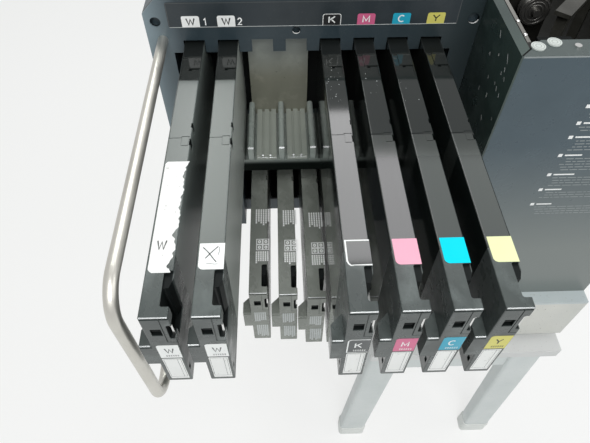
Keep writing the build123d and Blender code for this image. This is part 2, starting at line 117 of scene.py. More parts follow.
# Finishes: base colour, a second colour it drifts to, how rough and worn it is, and zones, each with its
# place, colour, roughness and shine
finishes = dict(
    # slatePaint's zones: painted light, paler and bluer at the panel's left end, and painted shade, darker towards
    # its right end
    slatePaint=dict(colour=(0.022, 0.037, 0.046), other=(0.032, 0.050, 0.061), rough=0.38, bump=0.10,
                    dust=0.10, scratch=0.06, zones=[([("x", -176, -226)], (0.225, 0.290, 0.320), 0.34, 0.5),
                                                    ([("x", 60, 240)], (0.018, 0.028, 0.030), 0.38, 0.5)]),
    # housingPaint's zone: painted shade, the housing's front, nearer than y 4 to 6, near-black with little shine
    housingPaint=dict(colour=(0.026, 0.042, 0.052), other=(0.038, 0.058, 0.070), rough=0.38, bump=0.10,
                      dust=0.10, scratch=0.06, zones=[([("y", 6, 4)], (0.004, 0.005, 0.005), 0.60, 0.1)]),
    darkPaint=dict(colour=(0.012, 0.024, 0.023), other=(0.026, 0.044, 0.040), rough=0.28, bump=0.12,
                   grain=800, dust=0.25, scratch=0.15, smudge=0.4, mottle=0.9,
                   zones=[([("y", -30, -110), ("z", 1080, 1200)], (0.040, 0.064, 0.057), 0.30, 0.5)]),
    # coverPaint's zone: painted reflection, the cover's front face paler and greyer towards the bottom
    coverPaint=dict(colour=(0.047, 0.076, 0.094), other=(0.056, 0.088, 0.108), rough=0.30, bump=0.06,
                    mottle=0.10, zones=[([("z", 1100, 860), ("y", -132, -135)],
                                         (0.180, 0.205, 0.196), 0.30, 0.5)]),
    rimPaint=dict(colour=(0.050, 0.068, 0.066), other=(0.072, 0.092, 0.090), rough=0.32, bump=0.08,
                  dust=0.20, scratch=0.35),
    casePlastic=dict(glossyCase, zones=[([("y", -80, -84)], (0.010, 0.014, 0.013), 0.075, 0.5),
                                        ([("y", -188, -189), ("y", -224, -222)],
                                         (0.034, 0.040, 0.037), 0.10, 0.5), upperInsideShade]),
    blackCase=dict(glossyCase, zones=[([("y", -80, -84)], (0.010, 0.014, 0.013), 0.06, 0.5), upperInsideShade]),
    # The zone on each white cartridge's right side is a painted reflection that makes the side paler
    white1CaseWithSideReflection=dict(glossyCase, zones=[([("y", -81, -84)], (0.078, 0.092, 0.088), 0.22, 0.5),
                                       ([("x", -147.98, -147.84)], (0.190, 0.220, 0.205), 0.30, 0.5),
                                       upperInsideShade]),
    white2CaseWithSideReflection=dict(glossyCase, zones=[([("y", -81, -84)], (0.078, 0.092, 0.086), 0.22, 0.5),
                                       ([("x", -101.98, -101.84)], (0.420, 0.450, 0.420), 0.34, 0.6),
                                       upperInsideShade]),
    # Pale strips of the painted edge highlights; the front lamp also mirrors in them
    paintedEdgeHighlight=dict(colour=(0.34, 0.36, 0.36), other=(0.44, 0.46, 0.46), rough=0.20, bump=0.01, grain=1200,
                      metal=0.10),
    headPlastic=dict(colour=(0.042, 0.052, 0.050), other=(0.070, 0.084, 0.081), rough=0.24, bump=0.05,
                     grain=1200, dust=0.06, scratch=0.05, smudge=0.4, mottle=0.7, zones=[upperInsideShade]),
    lowerPlastic=dict(colour=(0.180, 0.196, 0.172), other=(0.235, 0.252, 0.225), rough=0.24, bump=0.05,
                      grain=1200, dust=0.10, scratch=0.05, smudge=0.3, mottle=0.5, zones=lowerInsideShade),
    # cradlePlastic's zones: painted shade under the lip, darker and then black towards the bottom of the skirt
    cradlePlastic=dict(colour=(0.270, 0.310, 0.285), other=(0.350, 0.390, 0.362), rough=0.26, bump=0.06,
                       grain=700, dust=0.20, scratch=0.04,
                       zones=[([("z", 1024, 1012)], (0.024, 0.034, 0.030), 0.30, 0.4),
                              ([("z", 1016, 1010)], (0.003, 0.005, 0.004), 0.60, 0.05)]),
    # insertPlastic's zones: painted shade, darker where the inserts lie under the cartridges, left of x -96 and
    # right of x 4
    insertPlastic=dict(colour=(0.265, 0.292, 0.256), other=(0.330, 0.356, 0.316), rough=0.34, bump=0.08,
                       grain=700, dust=0.25, scratch=0.06,
                       zones=[([("x", -96, -97)], (0.030, 0.036, 0.032), 0.40, 0.4),
                              ([("x", 4, 5)], (0.030, 0.036, 0.032), 0.40, 0.4)]),
    blackPlastic=dict(colour=(0.006, 0.007, 0.007), other=(0.011, 0.012, 0.012), rough=0.55, bump=0.10,
                      grain=800, shine=0.05),
    # plateMetal's zone: painted reflection, paler and bluer over the plate's upper part
    plateMetal=dict(colour=(0.180, 0.182, 0.142), other=(0.235, 0.236, 0.190), rough=0.32, metal=0.25,
                    bump=0.05, grain=500, dust=0.06, scratch=0.06, mottle=0.5,
                    zones=[([("z", 1090, 1200)], (0.350, 0.400, 0.405), 0.30, 0.5)]),
    stainless=dict(colour=(0.56, 0.545, 0.495), other=(0.66, 0.645, 0.595), rough=0.36, metal=0.85, bump=0.04,
                   grain=1500, dust=0.05, scratch=0.10),
    brightSteel=dict(colour=(0.72, 0.72, 0.71), other=(0.80, 0.80, 0.79), rough=0.18, metal=1.0, bump=0.03,
                     grain=1500, dust=0.04, scratch=0.10),
    aluminium=dict(colour=(0.17, 0.168, 0.158), other=(0.24, 0.237, 0.225), rough=0.36, metal=0.9, bump=0.06,
                   dust=0.04, scratch=0.20),
    agedAlloy=dict(colour=(0.026, 0.026, 0.021), other=(0.044, 0.043, 0.036), rough=0.34, metal=0.2,
                   bump=0.06, dust=0.06, scratch=0.12, mottle=0.4),
    # stripAlloy's zone: painted shade, black and matte left of x 248.8
    stripAlloy=dict(colour=(0.200, 0.196, 0.182), other=(0.270, 0.264, 0.246), rough=0.34, metal=0.6,
                    bump=0.06, dust=0.15, scratch=0.15,
                    zones=[([("x", 249.4, 248.8)], (0.004, 0.004, 0.004), 0.6, 0.1)]),
    chassisPaint=dict(colour=(0.007, 0.007, 0.006), other=(0.012, 0.012, 0.010), rough=0.48, bump=0.10,
                      grain=600, dust=0.05, scratch=0.06, shine=0.25),
    ledgePaint=dict(colour=(0.50, 0.56, 0.57), other=(0.56, 0.62, 0.62), rough=0.40, bump=0.05, scratch=0.10,
                    specks=0.35),
    creamPaint=dict(colour=(0.62, 0.63, 0.59), other=(0.70, 0.70, 0.65), rough=0.42, bump=0.05, scratch=0.10,
                    specks=0.75),
    standPaint=dict(colour=(0.62, 0.67, 0.66), other=(0.69, 0.73, 0.72), rough=0.38, bump=0.05, grain=700,
                    scratch=0.15, specks=0.20),
    boardPaint=dict(colour=(0.66, 0.67, 0.66), other=(0.72, 0.73, 0.72), rough=0.40, bump=0.05, grain=500,
                    scratch=0.20, specks=0.20),
    whitePlastic=dict(colour=(0.72, 0.75, 0.72), other=(0.80, 0.82, 0.79), rough=0.35, bump=0.06,
                      scratch=0.10, specks=0.25),
    rubber=dict(colour=(0.020, 0.020, 0.020), other=(0.034, 0.034, 0.033), rough=0.75, bump=0.20, dust=0.25),
    labelFilm=dict(colour=(0.019, 0.027, 0.032), other=(0.028, 0.038, 0.045), rough=0.34, bump=0.03,
                   dust=0.08, scratch=0.10),
    whitePrint=dict(colour=(0.88, 0.90, 0.88), other=(0.93, 0.94, 0.93), rough=0.45, bump=0.03, scratch=0.05,
                    specks=0.15),
    paleLine=dict(colour=(0.50, 0.53, 0.53), other=(0.60, 0.63, 0.62), rough=0.45),
    blackPrint=dict(colour=(0.010, 0.011, 0.012), other=(0.018, 0.019, 0.020), rough=0.42, dust=0.05),
    greyPrint=dict(colour=(0.070, 0.078, 0.080), other=(0.090, 0.098, 0.100), rough=0.40, dust=0.05,
                   scratch=0.05),
    pinkTag=dict(colour=(0.86, 0.40, 0.52), other=(0.89, 0.46, 0.57), rough=0.40, scratch=0.03, specks=0.03,
                 shine=0.25),
    cyanTag=dict(colour=(0.002, 0.68, 0.84), other=(0.004, 0.73, 0.88), rough=0.50, specks=0.03, shine=0.10),
    yellowTag=dict(colour=(0.80, 0.85, 0.45), other=(0.84, 0.88, 0.52), rough=0.40, scratch=0.03, specks=0.03,
                   shine=0.25),
    capPlastic=dict(colour=(0.56, 0.60, 0.57), other=(0.64, 0.68, 0.65), rough=0.38, bump=0.10, grain=700,
                    scratch=0.10, specks=0.20),
    ridgePrint=dict(colour=(0.36, 0.39, 0.37), other=(0.44, 0.47, 0.45), rough=0.45),
    dimLine=dict(colour=(0.24, 0.27, 0.27), other=(0.31, 0.34, 0.34), rough=0.45),
    pinkPrint=dict(colour=(0.62, 0.11, 0.24), other=(0.68, 0.15, 0.29), rough=0.36, scratch=0.05, specks=0.05),
    cyanPrint=dict(colour=(0.014, 0.36, 0.52), other=(0.024, 0.42, 0.58), rough=0.36, scratch=0.05,
                   specks=0.05),
    yellowPrint=dict(colour=(0.66, 0.61, 0.12), other=(0.72, 0.67, 0.17), rough=0.36, scratch=0.05,
                     specks=0.05),
    paper=dict(colour=(0.92, 0.93, 0.91), other=(0.85, 0.86, 0.84), rough=0.70, bump=0.25, grain=260,
               scratch=0.05, specks=0.30),
)
# Noise of each effect: waves to a metre, where the noise begins to show and where it is full, its stretch,
# detail and turn
noises = dict(
    drift=(7.0, 0.35, 0.65, (1, 1, 1), 5.0, (0, 0, 0)),
    cloud=(30.0, 0.50, 0.68, (1, 0.7, 1), 5.0, (0.3, 0.1, 0.7)),
    dust=(420.0, 0.60, 0.75, (1, 1, 1), 2.0, (0, 0, 0)),
    smear=(16.0, 0.52, 0.80, (1, 0.4, 1), 6.0, (0.2, 0.1, 0.5)),
    scratch=(26.0, 0.70, 0.73, (1, 14, 14), 2.0, (0.3, 0.5, 0.9)),
    crossScratch=(26.0, 0.70, 0.73, (12, 1, 12), 2.0, (0.9, -0.4, -0.6)),
    specks=(230.0, 0.70, 0.74, (1, 1, 1), 1.0, (0, 0, 0)),
    gloss=(34.0, 0.35, 0.70, (1, 0.6, 1), 7.0, (0.1, 0.2, 0.6)),
)
# What clouds, dust and scratches turn to: the second colour times a factor, plus a part of white
tones = dict(cloud=(1.5, 0.02), dust=(0.45, 0.16), scratch=(2.2, 0.05))
speckColour = (0.13, 0.11, 0.08)
glossSpan = dict(low=0.82, high=1.25, smudge=0.35)    # times the roughness; smudge adds its part to the high end
reliefDepth = 0.0004    # metres


def addNode(tree, kind, place=(0, 0), **values):
    n = tree.nodes.new(kind)
    n.location = place
    for key, value in values.items():
        if key in n.bl_rna.properties:
            setattr(n, key, value)
        else:
            n.inputs[key].default_value = value
    return n


# A math node on numbers or other nodes' outputs
def combine(tree, operation, *values, clamp=False):
    n = addNode(tree, "ShaderNodeMath", operation=operation, use_clamp=clamp)
    for socket, value in zip(n.inputs, values):
        if isinstance(value, (int, float)):
            socket.default_value = value
        else:
            tree.links.new(value, socket)
    return n.outputs[0]


# Noise stretched by a scale along each axis, taken from the object's own coordinates
def noiseField(tree, coords, scale, stretch=(1, 1, 1), detail=3.0, turn=(0, 0, 0)):
    mapping = addNode(tree, "ShaderNodeMapping")
    mapping.inputs["Scale"].default_value = stretch
    mapping.inputs["Rotation"].default_value = turn
    tree.links.new(coords.outputs["Object"], mapping.inputs["Vector"])
    noise = addNode(tree, "ShaderNodeTexNoise", Scale=scale, Detail=detail, Roughness=0.6)
    tree.links.new(mapping.outputs["Vector"], noise.inputs["Vector"])
    return noise.outputs["Fac"]


# A value's way from low to high, as a number from bottom to top
def between(tree, value, low, high, top=1.0, bottom=0.0):
    ramp = addNode(tree, "ShaderNodeMapRange")
    for key, number in (("From Min", low), ("From Max", high), ("To Min", bottom), ("To Max", top)):
        ramp.inputs[key].default_value = number
    tree.links.new(value, ramp.inputs["Value"])
    return ramp.outputs["Result"]


# A colour that turns to another where the factor is 1
def tint(tree, factor, base, colour):
    mix = addNode(tree, "ShaderNodeMix", data_type="RGBA")
    tree.links.new(factor, mix.inputs["Factor"])
    if isinstance(base, tuple):
        mix.inputs[6].default_value = (*base, 1)
    else:
        tree.links.new(base, mix.inputs[6])
    mix.inputs[7].default_value = (*colour, 1)
    return mix.outputs[2]


# A number that turns to another where the field is 1
def blend(tree, field, value, other):
    mix = addNode(tree, "ShaderNodeMix", data_type="FLOAT")
    tree.links.new(field, mix.inputs[0])
    if isinstance(value, float):
        mix.inputs[2].default_value = value
    else:
        tree.links.new(value, mix.inputs[2])
    mix.inputs[3].default_value = other
    return mix.outputs[0]


# Product of how far a point has gone along each axis named, 0 at start and 1 at end. The axis slot is x
# folded into one slot, from 0 to the pitch with the slot's centre halfway.
def zoneField(tree, coords, where):
    parts = addNode(tree, "ShaderNodeSeparateXYZ")
    tree.links.new(coords.outputs["Object"], parts.inputs[0])
    result = None
    for axis, start, end in where:
        if axis == "slot":
            moved = combine(tree, "ADD", parts.outputs[0], shift[0] / 1000.0)
            along = combine(tree, "WRAP", moved, slotPitch / 1000.0, 0.0)
            offset = 0.0
        else:
            along = parts.outputs["xyz".index(axis)]
            offset = shift["xyz".index(axis)]
        field = between(tree, along, (start - offset) / 1000.0, (end - offset) / 1000.0)
        result = field if result is None else combine(tree, "MULTIPLY", result, field)
    return result


# One painted, moulded or metal surface: slow drift of colour, clouds, dust, scratches, specks, uneven gloss,
# fine grain, and zones where the colour, gloss and shine turn to others
def surface(name, colour, other, rough, bump=0.02, grain=900, dust=0.0, scratch=0.0, specks=0.0, metal=0.0,
            smudge=0.0, mottle=0.0, shine=0.5, zones=()):
    m = bpy.data.materials.new(name)
    m.use_nodes = True
    tree = m.node_tree
    tree.nodes.clear()
    out = addNode(tree, "ShaderNodeOutputMaterial", (900, 0))
    shader = addNode(tree, "ShaderNodeBsdfPrincipled", (600, 0), Metallic=metal)
    coords = addNode(tree, "ShaderNodeTexCoord", (-900, 0))

    def share(effect, top=1.0, bottom=0.0):
        waves, low, high, stretch, detail, turn = noises[effect]
        return between(tree, noiseField(tree, coords, waves, stretch, detail, turn), low, high, top, bottom)

    def toneOf(effect):
        factor, white = tones[effect]
        return tuple(min(1.0, factor * c + white) for c in other)

    tone = tint(tree, share("drift"), colour, other)
    if mottle:
        tone = tint(tree, share("cloud", mottle), tone, toneOf("cloud"))
    if dust:
        tone = tint(tree, share("dust", dust), tone, toneOf("dust"))
        tone = tint(tree, share("smear", 0.5 * dust), tone, toneOf("dust"))
    if scratch:
        for effect in ("scratch", "crossScratch"):
            tone = tint(tree, share(effect, 0.5 * scratch), tone, toneOf("scratch"))
    if specks:
        tone = tint(tree, share("specks", specks), tone, speckColour)
    roughest = min(1.0, rough * glossSpan["high"] + glossSpan["smudge"] * smudge)
    roughness = share("gloss", roughest, rough * glossSpan["low"])
    specular = shine
    shineVaries = any(zone[3] != shine for zone in zones)
    for where, zoneColour, zoneRough, zoneShine in zones:
        far = zoneField(tree, coords, where)
        tone = tint(tree, far, tone, zoneColour)
        roughness = blend(tree, far, roughness, zoneRough)
        if shineVaries:
            specular = blend(tree, far, specular, zoneShine)
    if isinstance(specular, float):
        shader.inputs["Specular IOR Level"].default_value = specular
    else:
        tree.links.new(specular, shader.inputs["Specular IOR Level"])
    tree.links.new(tone, shader.inputs["Base Color"])
    tree.links.new(roughness, shader.inputs["Roughness"])
    relief = addNode(tree, "ShaderNodeBump", Strength=bump, Distance=reliefDepth)
    tree.links.new(noiseField(tree, coords, grain), relief.inputs["Height"])
    tree.links.new(relief.outputs["Normal"], shader.inputs["Normal"])
    tree.links.new(shader.outputs["BSDF"], out.inputs["Surface"])
    return m


materials = {name: surface(name, **values) for name, values in finishes.items()}
print("materials", len(materials))

nodeFinish = dict(
    station_front_panel="slatePaint", station_housing="housingPaint", station_label="labelFilm",
    cartridge_springs="brightSteel", cartridge_cradle="cradlePlastic", slot_inserts="insertPlastic",
    slot_blanking_plate="plateMetal", cartridge_receivers="blackPlastic", lower_rack="blackPlastic",
    guard_bar="stainless", body_side_wall="darkPaint", body_top_rim="rimPaint", body_front_cover="coverPaint",
    rim_caps="capPlastic", rim_screw="brightSteel", body_chassis="chassisPaint", inner_strip="stripAlloy",
    drive_pulley="aluminium", pulley_bracket="chassisPaint", carriage_bar="agedAlloy",
    mechanism_blocks="blackPlastic", body_closing_panel="coverPaint", base_ledge="ledgePaint",
    base_cover="creamPaint", machine_feet="rubber", stand_top="boardPaint", stand_frame="standPaint",
    stand_foot_caps="whitePlastic", cartridge_white_1_case="white1CaseWithSideReflection", cartridge_white_2_case="white2CaseWithSideReflection",
    cartridge_black_case="blackCase",
)


def finishOf(name):
    if name in nodeFinish:
        return nodeFinish[name]
    if name.startswith("lower_cartridge"):
        return "lowerPlastic"
    return "headPlastic" if name.endswith("_front") else "casePlastic"


for name, node in frame["nodes"].items():
    node.data.materials.clear()
    node.data.materials.append(materials[finishOf(name)])
print("carried-over nodes dressed")


# Faces of an nu by nv grid of points, row after row. A ring's last row meets its first.
def gridFaces(nu, nv, start=0, ring=False):
    i = np.arange(nu if ring else nu - 1)[:, None]
    j = np.arange(nv - 1)[None, :]
    a = i * nv + j
    b = (i + 1) % nu * nv + j
    return np.stack([a, b, b + 1, a + 1], axis=-1).reshape(-1, 4) + start


# One object from several grids of points, each (rows, columns, 3). Points closer than a thousandth of a
# millimetre are joined, which closes seams and poles.
def fromGrids(name, grids, finish, ring=False, smooth=False):
    points = []
    faces = []
    count = 0
    for g in grids:
        g = np.asarray(g, float)
        faces.append(gridFaces(g.shape[0], g.shape[1], count, ring))
        points.append(g.reshape(-1, 3))
        count += g.shape[0] * g.shape[1]
    mesh = bpy.data.meshes.new(name)
    mesh.from_pydata(put(np.concatenate(points)), [], np.concatenate(faces).tolist())
    joined = bmesh.new()
    joined.from_mesh(mesh)
    bmesh.ops.remove_doubles(joined, verts=joined.verts, dist=1e-6)
    joined.to_mesh(mesh)
    joined.free()
    mesh.update()
    if smooth:
        mesh.shade_smooth()
    obj = bpy.data.objects.new(name, mesh)
    scene.collection.objects.link(obj)
    mesh.materials.append(materials[finish])
    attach(obj, body)
    return obj


filmLift = 0.12    # film off its face
printLift = 0.2    # print on a film, off the same face


# A place on a face: its corner, lifted off the face, and the two directions along it
def onPanel(x, z, lift):
    return dict(corner=(x, -lift, z), across=(1, 0, 0), up=(0, 0, 1))


def onTop(x, y, z=cartridgeTop, lift=filmLift):
    return dict(corner=(x, y, z + lift), across=(1, 0, 0), up=(0, 1, 0))


def onFront(x, z, y=frontFace, lift=filmLift):
    return dict(corner=(x, y - lift, z), across=(1, 0, 0), up=(0, 0, 1))


# Points of a place: the corner plus s along the first direction and t along the second
def lay(place, s, t):
    across = np.array(place["across"], float)
    up = np.array(place["up"], float)
    s, t = np.broadcast_arrays(np.asarray(s, float), np.asarray(t, float))
    return np.array(place["corner"]) + s[..., None] * across + t[..., None] * up


# Rectangle with its own radius at each corner: at height t the sides draw in by r - sqrt(r^2 - d^2),
# where d is how far t is past the start of that corner
def patch(place, width, height, radii=(0, 0, 0, 0), rows=25, columns=9):
    lowLeft, lowRight, highRight, highLeft = radii
    t = (0.5 - 0.5 * np.cos(np.linspace(0, np.pi, rows)))[:, None] * height
    u = np.linspace(0, 1, columns)[None, :]

    def draw(low, high):
        d = np.clip(low - t, 0, None) + np.clip(t - (height - high), 0, None)
        r = np.where(t < height / 2, low, high)
        return r - np.sqrt(np.clip(r * r - d * d, 0, None))

    left = draw(lowLeft, highLeft)
    right = width - draw(lowRight, highRight)
    return lay(place, left + (right - left) * u, t + 0 * u)[::-1]


# Line of one width along a path: each point is moved half the width to both sides, along the mean normal of
# the runs that meet there, also where the path comes back to its start. A point given twice in a row counts
# once, and a sharp turn's corner goes no further than its reach in half widths.
def ribbon(place, path, width, reach=1.6):
    p = np.asarray(path, float)
    p = p[np.append(True, np.linalg.norm(np.diff(p, axis=0), axis=1) > 1e-6)]
    run = np.diff(p, axis=0)
    run /= np.linalg.norm(run, axis=1)[:, None]
    normal = np.stack([-run[:, 1], run[:, 0]], axis=1)
    first = np.vstack([normal[:1], normal])
    last = np.vstack([normal, normal[-1:]])
    if np.allclose(p[0], p[-1]):
        first[0] = normal[-1]
        last[-1] = normal[0]
    mean = first + last
    mean /= (0.5 * (mean * mean).sum(axis=1))[:, None]
    mean *= np.minimum(1.0, reach / np.linalg.norm(mean, axis=1))[:, None]
    side = np.array([-0.5, 0.5]) * width
    q = p[:, None, :] + side[None, :, None] * mean[:, None, :]
    return lay(place, q[..., 0], q[..., 1])


# Path on an ellipse: its centre plus rx times the cosine and ry times the sine of each angle
def arc(cx, cy, rx, ry, start, end, count=14):
    a = np.radians(np.linspace(start, end, count))
    return list(zip(cx + rx * np.cos(a), cy + ry * np.sin(a)))


# Strokes of the plain ink letters and numbers in a unit box
strokes = dict(
    W=[[(0, 1), (0.25, 0), (0.5, 0.85), (0.75, 0), (1, 1)]],
    K=[[(0.06, 0), (0.06, 1)], [(0.95, 1), (0.1, 0.40)], [(0.36, 0.60), (1, 0)]],
    M=[[(0.02, 0), (0.02, 1), (0.5, 0.22), (0.98, 1), (0.98, 0)]],
    C=[arc(0.52, 0.5, 0.48, 0.5, 48, 312)],
    Y=[[(0, 1), (0.5, 0.48), (1, 1)], [(0.5, 0.52), (0.5, 0)]],
    one=[[(0.15, 0.76), (0.55, 1), (0.55, 0)]],
    two=[arc(0.5, 0.70, 0.42, 0.28, 172, -28) + [(0.04, 0.04), (1.0, 0.04)]],
)


# A letter: its strokes times the width and height, each as a line of one weight
def letter(place, which, width, height, weight):
    return [ribbon(place, [(x * width, y * height) for x, y in line], weight) for line in strokes[which]]


# Label over the slots, with heights from the cartridges' tops: pale outline, one tab for each ink, its
# letter, and a number for the white ones
label = dict(left=-190.0, right=190.0, low=23.4, high=56.8, line=0.8, lift=0.55)
tab = dict(low=23.6, width=23.4, height=15.6, radius=2.6, lift=0.62, line=0.8, lineLift=0.68)
# Inset, width and weight of the white ones' letters and of the rest
tabLetter = dict(low=27.0, height=8.8, lift=0.70, white=(6.4, 10.4, 1.9), plain=(7.4, 8.6, 1.6))
tabNumber = dict(low=26.0, width=5.2, height=9.6, lift=0.66, weight=1.7)
tabs = dict(
    white_1=dict(left=-173.0, finish="whitePrint", ink="W", print="blackPrint", number="one", at=-144.8),
    white_2=dict(left=-126.5, finish="whitePrint", ink="W", print="blackPrint", number="two", at=-99.6),
    black=dict(left=12.0, finish="blackPrint", ink="K", print="whitePrint"),
    magenta=dict(left=57.2, finish="pinkPrint", ink="M", print="whitePrint"),
    cyan=dict(left=103.8, finish="cyanPrint", ink="C", print="whitePrint"),
    yellow=dict(left=149.6, finish="yellowPrint", ink="Y", print="blackPrint"),
)
outline = [(label["left"], label["high"]), (label["left"], label["low"]), (label["right"], label["low"]),
           (label["right"], label["high"]), (label["left"], label["high"])]
lines = [ribbon(onPanel(0, cartridgeTop, label["lift"]), outline[i:i + 2], label["line"]) for i in range(4)]
fromGrids("label_outline", lines[1:2], "paleLine")
fromGrids("label_outline_dim", lines[:1] + lines[2:], "greyPrint")
for name, t in tabs.items():
    low, width, high, r = cartridgeTop + tab["low"], tab["width"], tab["height"], tab["radius"]
    film = patch(onPanel(t["left"], low, tab["lift"]), width, high, (0, 0, r, r))
    fromGrids("tab_" + name, [film], t["finish"])
    inset, wide, weight = tabLetter["white" if t["ink"] == "W" else "plain"]
    spot = onPanel(t["left"] + inset, cartridgeTop + tabLetter["low"], tabLetter["lift"])
    fromGrids("tab_letter_" + name, letter(spot, t["ink"], wide, tabLetter["height"], weight), t["print"])
    if "number" in t:
        spot = onPanel(t["at"], cartridgeTop + tabNumber["low"], tabNumber["lift"])
        number = letter(spot, t["number"], tabNumber["width"], tabNumber["height"], tabNumber["weight"])
        fromGrids("tab_number_" + name, number, "whitePrint")
    if name == "black":
        edge = [(0, 0)] + arc(r, high - r, r, r, 180, 90, 6) + arc(width - r, high - r, r, r, 90, 0, 6)
        spot = onPanel(t["left"], low, tab["lineLift"])
        fromGrids("tab_outline_black", [ribbon(spot, edge + [(width, 0)], tab["line"])], "whitePrint")
print("label and tabs")

# Printed marks on each upper cartridge: tag on top, colour band with its letter and dashes, and the sticker
# under it with its frame. Heights are from the cartridge's top, left and right from the case's sides.
slotOf = dict(white_1=0, white_2=1, black=4, magenta=5, cyan=6, yellow=7)
marks = dict(
    white_2=dict(tag="whitePrint", band="whitePrint", ink="W", print="greyPrint"),
    black=dict(tag=None, band="greyPrint", ink="K", print="whitePrint"),
    magenta=dict(tag="pinkTag", band="pinkPrint", ink="M", print="whitePrint"),
    cyan=dict(tag="cyanTag", band="cyanPrint", ink="C", print="whitePrint"),
    yellow=dict(tag="yellowTag", band="yellowPrint", ink="Y", print="blackPrint"),
    white_1=dict(tag=None, band="whitePrint", ink="W", print="greyPrint"),
)
tag = dict(front=-363.5, back=-334.0, left=2.2, right=0.2, radii=(5.0, 0, 0, 0.6), line=1.5, underLift=0.08)
band = dict(low=-84.0, high=-55.0, left=4.2, right=1.0, radius=3.5, line=1.3, footUp=0.4, footLine=1.0)
bandLetter = dict(right=7.0, up=11.5, width=6.6, wide=8.2, height=9.6, weight=1.5)
bandDashes = dict(right=6.0, up=5.2, count=6, pitch=2.2, dash=1.4, rows=(0.6, -1.4), line=1.1)
sticker = dict(low=-138.0, high=-86.0, left=4.4, right=2.6, radius=1)
stickerFrame = dict(right=1.2, up=5.0, narrower=2.4, lower=7.0, column=3.4, line=0.35)
for name, m in marks.items():
    side = slotCentre(slotOf[name]) - caseHalf
    tagPlace = onTop(side + tag["left"], tag["front"])
    width = 2 * caseHalf - tag["left"] - tag["right"]
    length = tag["back"] - tag["front"]
    if m["tag"]:
        fromGrids("tag_" + name, [patch(tagPlace, width, length, tag["radii"])], m["tag"])
    if name == "black":    # a plain tag with a pale line just inside its edge, open at the right
        r = tag["radii"][0]
        edge = [(width, 0.7), (r, 0.7)] + arc(r + 0.7, r, r - 0.6, r - 0.3, 268, 182, 7) + [(0.8, r)]
        edge += [(0.8, length - 0.7), (width, length - 0.7)]
        film = patch(onTop(side + tag["left"], tag["front"], lift=tag["underLift"]), width, length, tag["radii"])
        fromGrids("tag_film_black", [film], "casePlastic")
        fromGrids("tag_outline_black", [ribbon(tagPlace, edge, tag["line"])], "whitePrint")
    left, low = side + band["left"], cartridgeTop + band["low"]
    width = 2 * caseHalf - band["left"] - band["right"]
    high, r = band["high"] - band["low"], band["radius"]
    fromGrids("band_" + name, [patch(onFront(left, low), width, high, (0, 0, 0, r))], m["band"])
    spot = onFront(left + bandLetter["right"], low + bandLetter["up"], lift=printLift)
    inkWidth = bandLetter["wide" if m["ink"] == "W" else "width"]
    ink = letter(spot, m["ink"], inkWidth, bandLetter["height"], bandLetter["weight"])
    fromGrids("band_letter_" + name, ink, m["print"])
    spot = onFront(left + bandDashes["right"], low + bandDashes["up"], lift=printLift)
    starts = [bandDashes["pitch"] * k for k in range(bandDashes["count"])]
    dashes = [ribbon(spot, [(u, v), (u + bandDashes["dash"], v)], bandDashes["line"])
              for u in starts for v in bandDashes["rows"]]
    fromGrids("band_dashes_" + name, dashes, m["print"])
    if name == "black":
        spot = onFront(left, low, lift=printLift)
        edge = [(0, 0)] + arc(r, high - r, r, r, 180, 90, 7) + [(width, high)]
        foot = [(0, band["footUp"]), (width, band["footUp"])]
        fromGrids("band_outline_black", [ribbon(spot, edge, band["line"]), ribbon(spot, foot, band["footLine"])],
                  "whitePrint")
    left, low = side + sticker["left"], cartridgeTop + sticker["low"]
    width = 2 * caseHalf - sticker["left"] - sticker["right"]
    high = sticker["high"] - sticker["low"]
    fromGrids("sticker_" + name, [patch(onFront(left, low), width, high, (sticker["radius"],) * 4)], "paper")
    spot = onFront(left + stickerFrame["right"], low + stickerFrame["up"], lift=printLift)
    w, h = width - stickerFrame["narrower"], high - stickerFrame["lower"]
    column = w - stickerFrame["column"]
    edges = [ribbon(spot, [a, b], stickerFrame["line"]) for a, b in
             (((0, 0), (w, 0)), ((w, 0), (w, h)), ((w, h), (0, h)), ((0, h), (0, 0)), ((column, 0), (column, h)))]
    fromGrids("sticker_frame_" + name, edges, "greyPrint")
print("cartridge marks")

# Hand-drawn cross on the second white cartridge's tag: two long strokes and two short ones. Along each, x and
# y go from a start by a run, plus a height times the sine of an angle that grows from 0 to so many radians.
cross = dict(left=3.2, front=5.0, strokes=(((0, 14, 0.5, 5), (20, -17, 0, 0), 1.0),
                                           ((14.5, -11.5, 0, 0), (20.5, -13, 0.4, 4), 1.1),
                                           ((4, 11, 0, 0), (1.0, 0, 0.4, 6), 0.45),
                                           ((15.6, 0, 0.3, 5), (20, -9, 0, 0), 0.5)))    # along x, along y, line
crossPlace = onTop(slotCentre(1) - caseHalf + tag["left"] + cross["left"], tag["front"] + cross["front"],
                   lift=printLift)
s = np.linspace(0, 1, 9)
crossLines = []
for *axes, line in cross["strokes"]:
    path = [start + length * s + height * np.sin(radians * s) for start, length, height, radians in axes]
    crossLines.append(ribbon(crossPlace, list(zip(*path)), line))
fromGrids("tag_cross", crossLines, "greyPrint")

# Long paper on the first white cartridge. Its right edge is torn: less three waves past the start, less three
# bites, each a bell curve of depth, middle and width, and plus a flare over the last part. Its left corners
# draw in by the square of the way into them, and it lifts a little along the torn edge.
tornPaper = dict(left=-172.0, right=-149.6, front=-366.0, back=-224.0, rows=180, columns=24,
                 waves=((0.9, 23, 1), (0.6, 61, 0), (0.4, 127, 2)), wavesFrom=0.03,    # height, radians, start
                 bites=((3.4, 0.30, 0.03), (4.2, 0.06, 0.05), (2.4, 0.16, 0.02)),
                 flare=(2.2, 0.07), frontCorner=(4.0, 0.035), backCorner=(2.5, 0.025),    # width, share of length
                 lift=(0.16, 0.5, 31, 0.06, 50, 6),    # base; edge, its radians; ripple, its radians along, across
                 letter=dict(x=-166.5, y=-340.0, lift=0.75, width=8.5, height=10.0, weight=1.3))
v = np.linspace(0, 1, tornPaper["rows"])[:, None]
u = np.linspace(0, 1, tornPaper["columns"])[None, :]


# Way into the last share of the length, 0 to 1
def lastPart(along, share):
    return np.clip((along - 1 + share) / share, 0, 1)


